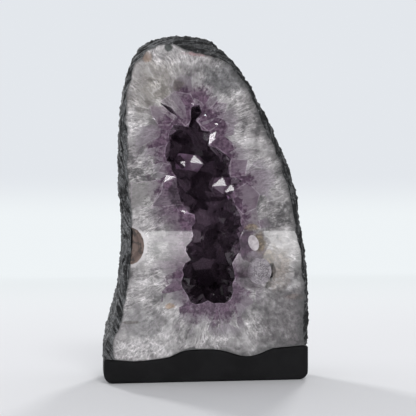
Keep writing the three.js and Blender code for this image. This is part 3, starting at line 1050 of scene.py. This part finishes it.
# Points whose end face shines in the high front light. In millimetres: middle of the end face (x, z) and its
# depth, size of the crystal, and the way its point leans on the cut face (x, z).
BRIGHT_POINTS = [
    ((-18, 177), 12, 3.2, (0.3, -1)),
    ((-6.5, 179.5), 14, 6.6, (0.8, -0.5)),
    ((10.5, 161), 8, 7.0, (-1, -0.4)),
    ((18.5, 156), 3.5, 5.4, (-1, -0.7)),
]


def grow_bright_points():
    crystals = []
    for (x, z), depth, size, lean in BRIGHT_POINTS:
        middle = Vector((x * MM, FACE_Y + depth * MM, z * MM))
        normal = mirror_normal(middle, HIGH_LIGHT)
        lean = Vector((lean[0], 0, lean[1]))
        lean = (lean - normal * lean.dot(normal)).normalized()
        direction = normal * math.cos(CRYSTAL_TILT) + lean * math.sin(CRYSTAL_TILT)
        radius = size * MM
        tip = middle + lean * radius / math.cos(CRYSTAL_TILT) * 0.55
        length = 3 * radius
        across = turn_to(direction).transposed() @ normal
        spin = math.atan2(across.y, across.x)
        corners, faces = crystal_corners(tip - direction * length, direction, radius, length, spin, [1] * 6, [0] * 6)
        crystals.append(new_object("bright_point", corners, faces))
    return crystals


# Chips of the cut face that shine in the low front light: corners (x, z) in millimetres.
CHIPS = [
    [(0.8, 192), (1.8, 201), (7.6, 204), (6.0, 197)],
    [(-35.7, 161.8), (-33.5, 168.4), (-25.2, 166.6)],
    [(-22.0, 138.6), (-20.2, 139.7), (-17.4, 138.6), (-18.2, 136.8)],
    [(5, 209.2), (7.8, 210.4), (8.8, 207.6)],
    [(-45, 213), (-42.8, 213.8), (-42, 211.6)],
    [(-13.6, 225.4), (-11.9, 225.9), (-11.3, 224.2)],
    [(-3.5, 216.5), (-1.2, 217.3), (-0.4, 215)],
]

# Narrow gaps between crystals on the cut face: corners (x, z) in millimetres, and depth.
GAPS = [
    ([(-39, 226), (-29, 221.5), (-24.5, 215), (-31, 218.5)], 5),
    ([(53, 89), (54, 97), (57, 90), (55, 80)], 3),
]


def polygon_planes(corners):
    """Planes that stand round an (x, z) outline, whichever way it runs."""
    middle = np.mean(corners, 0)
    normals, distances = [], []
    for (x0, z0), (x1, z1) in sides(corners):
        normal = np.array([z0 - z1, 0, x1 - x0]) / math.hypot(x1 - x0, z1 - z0)
        distance = normal @ (x0, 0, z0)
        if normal @ (middle[0], 0, middle[1]) > distance:
            normal, distance = -normal, -distance
        normals.append(normal)
        distances.append(distance * MM)
    return normals, distances


def tapered_block(name, corners, rings):
    """A closed block on the cut face; rings are (depth in millimetres, size as a share of the outline)."""
    middle = np.mean(corners, 0)
    places = []
    for depth, share in rings:
        ring = [middle + share * (np.array(corner) - middle) for corner in corners]
        places.append([Vector((x * MM, FACE_Y + depth * MM, z * MM)) for x, z in ring])
    return loft(name, places)


def chip_seats():
    """Solid quartz behind each chip, so that its face is whole where the cavity's wall is near."""
    return [tapered_block("seat", corners, ((-3, 1.04), (0, 1.04), (7, 1.04), (13, 0.4))) for corners in CHIPS]


def chip_cutters():
    cutters = []
    for corners in CHIPS:
        normals, distances = polygon_planes(corners)
        x, lowest = np.mean(corners, 0)[0], np.min(corners, 0)[1]
        seat = np.array((x * MM, FACE_Y + 0.3 * MM, lowest * MM))
        floor_normal = -np.array(mirror_normal(Vector((x * MM, FACE_Y, np.mean(corners, 0)[1] * MM)), LOW_LIGHT))
        normals += [floor_normal, np.array((0, -1.0, 0))]
        distances += [floor_normal @ seat, 3 * MM - FACE_Y]
        cutters.append(new_object("chip", *solid_between(np.array(normals), np.array(distances))))
    return cutters


def gap_cutters():
    return [tapered_block("gap", corners, ((-3, 1.0), (0, 1.0), (depth, 0.15))) for corners, depth in GAPS]


# The lining's coarse cavity and pockets are filled before finer ones are cut. The plug of the cavity is given
# by depth and reach, as in CAVITY_WALL, and the filling of a pocket by its size as a share of the inclusion's.
PLUG = [(-10, 20), (0, 20), (30, 24), (60, 20), (76, 6)]
FILLING_SIZE = 1.12


def build_lining(settings, rind, foot, inclusions):
    lining = copy_of_node("quartz_lining", "quartz_lining_polished")
    stand_past_face(lining)
    fillings = [loft("plug", [cavity_ring(depth, reach, 10) for depth, reach in PLUG])]
    for node in INCLUSIONS:
        filling = copy_of_node(node, "filling")
        middle = Matrix.Translation((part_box(node)[0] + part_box(node)[1]) / 2)
        filling.data.transform(middle @ Matrix.Scale(FILLING_SIZE, 4) @ middle.inverted())
        fillings.append(filling)
    combine(lining, "UNION", fillings)
    combine(lining, "DIFFERENCE", [loft("cavity", [cavity_ring(*step) for step in CAVITY_WALL])])
    combine(lining, "UNION", grow_crystals(settings) + grow_back_wall(settings) + grow_bright_points() + chip_seats())
    for neighbour in (rind, foot, *inclusions):
        combine(lining, "DIFFERENCE", [duplicate(neighbour)])
    combine(lining, "DIFFERENCE", [saw_block()])
    combine(lining, "DIFFERENCE", chip_cutters() + gap_cutters())
    return lining


def mark_lining_faces(lining):
    """Face materials: 0 on the polished face, 1 in the cavity, and 0 on the hidden outside."""
    reach = ring_edges(np.array([(p.x, p.z) for p in cavity_ring(20, 22, 10)]))
    centres = np.array([polygon.center for polygon in lining.data.polygons])
    in_cavity = inside_edges(centres[:, [0, 2]], reach) & (centres[:, 1] > BEHIND_FACE)
    lining.data.polygons.foreach_set("material_index", in_cavity.astype(np.int32))


def mesh_face_evenly(lining):
    """Gives the cut face an even mesh. Returns the edges of the face, each a pair of (x, z) ends."""
    bm = bmesh.new()
    bm.from_mesh(lining.data)
    cut = [face for face in bm.faces if all(v.co.y < BEHIND_FACE for v in face.verts)]
    on_cut = set(cut)
    border = [e for face in cut for e in face.edges if sum(f in on_cut for f in e.link_faces) == 1]
    corners = list({vertex for edge in border for vertex in edge.verts})
    number = {vertex: i for i, vertex in enumerate(corners)}
    edges = [tuple(number[vertex] for vertex in edge.verts) for edge in border]
    rim = np.array([(v.co.x, v.co.z) for v in corners])
    ends = rim[np.array(edges)]

    step = 2.5 * MM
    low, high = rim.min(0), rim.max(0)
    grid = np.stack(np.meshgrid(np.arange(low[0], high[0], step), np.arange(low[1], high[1], step)), -1)
    grid = grid.reshape(-1, 2)
    grid = grid[inside_edges(grid, ends) & (edge_distance(grid, ends) > 0.4 * step)]
    flat = [Vector(point) for point in np.concatenate([rim, grid])]
    points, _, triangles, sources, *_ = delaunay_2d_cdt(flat, edges, [], 0, 1e-9)
    places = np.array([tuple(point) for point in points])
    centres = places[np.array(triangles)].mean(1)
    kept = np.array(triangles)[inside_edges(centres, ends)]

    bmesh.ops.delete(bm, geom=cut, context="FACES_ONLY")
    vertices = []
    for point, source in zip(points, sources):
        shared_corner = source[0] if source and source[0] < len(corners) else None
        vertices.append(
            bm.verts.new((point[0], FACE_Y, point[1])) if shared_corner is None else corners[shared_corner]
        )
    for a, b, c in kept:
        face = bm.faces.new((vertices[a], vertices[b], vertices[c]))
        face.material_index = 0
        face.normal_update()
        if face.normal.y > 0:
            face.normal_flip()
    bmesh.ops.delete(bm, geom=[e for e in bm.edges if not e.link_faces], context="EDGES")
    bmesh.ops.delete(bm, geom=[v for v in bm.verts if not v.link_faces], context="VERTS")
    bm.to_mesh(lining.data)
    bm.free()
    return ends


def store_distances(lining, ends):
    """Stores how far each corner of the mesh lies from the mouth and from the rim of the cut face."""
    places = np.array([(v.co.x, v.co.z) for v in lining.data.vertices])
    middles = ends.mean(1)
    near_mouth = edge_distance(middles, ring_edges(mouth_outline() * MM)) < 1.5 * MM
    near_rim = ~near_mouth & ~near_pockets(middles)
    for name, outline in (("to_mouth", ends[near_mouth]), ("to_rim", ends[near_rim])):
        layer = lining.data.attributes.new(name, "FLOAT", "POINT")
        layer.data.foreach_set("value", edge_distance(places, outline).astype(np.float32))


POCKET_REACH = 7 * MM  # about how far the edges of a chip or a gap run from its corners


def near_pockets(points):
    """Which (x, z) points lie at a chip, a gap or an inclusion, and not at the outside of the stone."""
    near = np.zeros(len(points), bool)
    for corners in CHIPS + [corners for corners, _ in GAPS]:
        for corner in corners:
            near |= np.linalg.norm(points - np.array(corner) * MM, axis=1) < POCKET_REACH
    for node in INCLUSIONS:
        low, high = (Vector((p.x, p.z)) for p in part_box(node))
        margin = 1.5 * MM
        near |= ((points > np.array(low) - margin) & (points < np.array(high) + margin)).all(1)
    return near


def edge_distance(points, edges):
    """Distance from each (x, z) point to the nearest of the edges, each a pair of ends."""
    least = np.full(len(points), np.inf)
    for start, end in edges:
        along = end - start
        offset = points - start
        share = np.clip(offset @ along / max(along @ along, 1e-18), 0, 1)
        least = np.minimum(least, np.linalg.norm(offset - share[:, None] * along, axis=1))
    return least


def inside_edges(points, edges):
    """Which (x, z) points lie inside the area that the edges enclose."""
    x, z = points[:, 0], points[:, 1]
    inside = np.zeros(len(points), bool)
    for (x0, z0), (x1, z1) in edges:
        if z0 != z1:
            inside ^= ((z0 > z) != (z1 > z)) & (x < (x1 - x0) * (z - z0) / (z1 - z0) + x0)
    return inside


# ---- operators ----

PIECES = {}


class GEODE_OT_crust(bpy.types.Operator):
    """Makes the rough rind"""

    bl_idname = "geode.crust"
    bl_label = "Rind"

    def execute(self, context):
        settings = context.scene.geode
        rind = build_rind(settings)
        PIECES["rind"] = rind
        shade(rind, rough_crust(settings), smooth=True)
        combine(rind, "DIFFERENCE", [saw_block()])
        finish_piece(rind, "rind")
        return {"FINISHED"}


class GEODE_OT_foot(bpy.types.Operator):
    """Makes the cast foot"""

    bl_idname = "geode.foot"
    bl_label = "Cast foot"

    def execute(self, context):
        settings = context.scene.geode
        foot = build_foot(settings)
        PIECES["foot"] = foot
        shade(foot, cast_cement(settings), smooth=True)
        finish_piece(foot, "cast_foot")
        return {"FINISHED"}


class GEODE_OT_inclusions(bpy.types.Operator):
    """Makes the agate, the pebble and the grey nodule"""

    bl_idname = "geode.inclusions"
    bl_label = "Inclusions"

    def execute(self, context):
        for node, stone in (
            ("brown_agate_nodule", brown_agate),
            ("white_calcite_pebble", white_calcite),
            ("grey_quartz_nodule", grey_quartz),
        ):
            piece = copy_of_node(node, f"polished_{stone.__name__}")
            shade(piece, stone(context.scene.geode))
            PIECES[node] = piece
            finish_piece(piece, node)
        return {"FINISHED"}


class GEODE_OT_lining(bpy.types.Operator):
    """Makes the quartz lining with its amethyst crystals"""

    bl_idname = "geode.lining"
    bl_label = "Quartz lining"

    def execute(self, context):
        settings = context.scene.geode
        inclusions = [piece for name, piece in PIECES.items() if name not in ("rind", "foot")]
        lining = build_lining(settings, PIECES["rind"], PIECES["foot"], inclusions)
        shade(lining, polished_quartz(settings), clear_amethyst(settings))
        mark_lining_faces(lining)
        store_distances(lining, mesh_face_evenly(lining))
        finish_piece(lining, "quartz_lining")
        return {"FINISHED"}


class GEODE_OT_studio(bpy.types.Operator):
    """Makes the table, the lights and the camera"""

    bl_idname = "geode.studio"
    bl_label = "Studio"

    def execute(self, context):
        build_studio(context.scene, context.scene.geode_studio)
        return {"FINISHED"}


# ---- studio ----


def aim(thing, place, target):
    thing.location = place
    thing.rotation_euler = (Vector(target) - Vector(place)).to_track_quat("-Z", "Y").to_euler()


def area_light(name, place, width, height, power):
    """A lamp that shines on the middle of the cut face, unseen itself."""
    lamp = bpy.data.lights.new(name, "AREA")
    lamp.shape = "RECTANGLE"
    lamp.size, lamp.size_y = width, height
    lamp.energy = power
    light = link_object(name, lamp)
    aim(light, place, FACE_MIDDLE)
    light.visible_camera = False


def studio_walls(studio):
    """Pale walls behind the geode, a dimmer ceiling and a dim room in front."""
    world = bpy.data.worlds.new("studio_walls")
    world.use_nodes = True
    tree = world.node_tree
    way = add(tree, "ShaderNodeTexCoord").outputs["Generated"]
    up = coordinate(tree, way, "Z")
    behind = mix(tree, fade(tree, up, -0.015, 0.025), studio.horizon, studio.wall)
    behind = mix(tree, fade(tree, up, 0.2, 0.9), behind, studio.ceiling)
    glow = mix(tree, fade(tree, coordinate(tree, way, "Y"), -0.1, 0.35), studio.room, behind)
    set_inputs(tree, tree.nodes["Background"], {"Color": glow})
    return world


def white_table(studio):
    """A white table that runs into the wall behind without a seam."""
    material, tree, shader, _ = new_material("white_table", Roughness=0.6, Specular_IOR_Level=0.0)
    depth = coordinate(tree, object_place(tree), "Y")
    inputs = {
        "Base Color": mix(tree, fade(tree, depth, 0.03, 1.3), studio.table, (0, 0, 0)),
        "Emission Color": mix(tree, fade(tree, depth, 0.1, 1.4), (0, 0, 0), studio.horizon),
        "Emission Strength": 1.0,
    }
    set_inputs(tree, shader, inputs)
    return material


def bright_card(studio):
    """A bright card that dims towards the table; the cut face mirrors it as a band."""
    material, tree, shader, _ = new_material("bright_card", Roughness=1.0, Specular_IOR_Level=0.0)
    height = coordinate(tree, object_place(tree), "Z")
    glow = fade(tree, height, 0.0, 0.066, 0.0, studio.card)
    inputs = {"Base Color": rgba((0, 0, 0)), "Emission Color": rgba((1, 1, 1)), "Emission Strength": glow}
    set_inputs(tree, shader, inputs)
    return material


def stage_sheet(name, corners, material):
    """A flat four-cornered thing of the studio."""
    sheet = new_object(name, corners, [(0, 1, 2, 3)])
    sheet.data.materials.append(material)
    return sheet


# In metres. The back lights stand behind the geode, and the card in front of its cut face.
TABLE = [(-6, -4, 0), (6, -4, 0), (6, 8, 0), (-6, 8, 0)]
BACK_LIGHT_DISTANCE, BACK_LIGHT_BEARING, BACK_LIGHT_RISE = 2.4, math.radians(23), 1.1
CARD_DISTANCE, CARD_HALF_WIDTH, CARD_HEIGHT = 1.3, 1.5, 0.09
FACE_MIDDLE = Vector((0, FACE_Y, 0.14))


def build_studio(scene, studio):
    scene.view_settings.view_transform = "Standard"
    scene.world = studio_walls(studio)
    stage_sheet("table", TABLE, white_table(studio))

    for side in (-1, 1):
        bearing = BACK_LIGHT_BEARING * side
        x, y = BACK_LIGHT_DISTANCE * math.sin(bearing), BACK_LIGHT_DISTANCE * math.cos(bearing)
        place = FACE_MIDDLE + Vector((x, y, BACK_LIGHT_RISE))
        area_light(f"back_light_{side}", place, 0.35, 0.35, studio.back_light)
    area_light("front_light", HIGH_LIGHT, 0.52, 0.42, studio.front_light)
    area_light("low_light", LOW_LIGHT, 0.16, 0.16, studio.low_light)

    corners = ((-1, 0), (1, 0), (1, CARD_HEIGHT), (-1, CARD_HEIGHT))
    corners = [(side * CARD_HALF_WIDTH, FACE_Y - CARD_DISTANCE, z) for side, z in corners]
    card = stage_sheet("front_card", corners, bright_card(studio))
    card.visible_camera = False

    camera = link_object("camera", bpy.data.cameras.new("camera"))
    camera.data.lens = studio.lens
    aim(camera, eye_place(studio), Vector((0, FACE_Y, studio.aim_height)) + view_across(studio))
    scene.camera = camera


# ---- panel and run ----


class GEODE_PT_panel(bpy.types.Panel):
    """Lists the geode's pieces and sizes"""

    bl_label = "Amethyst geode"
    bl_idname = "GEODE_PT_panel"
    bl_space_type = "VIEW_3D"
    bl_region_type = "UI"
    bl_category = "Geode"

    def draw(self, context):
        for operator in OPERATORS:
            self.layout.operator(operator.bl_idname)
        for group in (context.scene.geode, context.scene.geode_studio):
            column = self.layout.column()
            for name in group.__annotations__:
                column.prop(group, name)


OPERATORS = [GEODE_OT_foot, GEODE_OT_crust, GEODE_OT_inclusions, GEODE_OT_lining, GEODE_OT_studio]
CLASSES = [GeodeSettings, StudioSettings, *OPERATORS, GEODE_PT_panel]


def register():
    for cls in CLASSES:
        bpy.utils.register_class(cls)
    bpy.types.Scene.geode = bpy.props.PointerProperty(type=GeodeSettings)
    bpy.types.Scene.geode_studio = bpy.props.PointerProperty(type=StudioSettings)


def unregister():
    del bpy.types.Scene.geode_studio
    del bpy.types.Scene.geode
    for cls in reversed(CLASSES):
        bpy.utils.unregister_class(cls)


def main():
    register()
    bpy.ops.geode.foot()
    bpy.ops.geode.crust()
    bpy.ops.geode.inclusions()
    bpy.ops.geode.lining()
    bpy.ops.geode.studio()


if __name__ == "__main__":
    main()
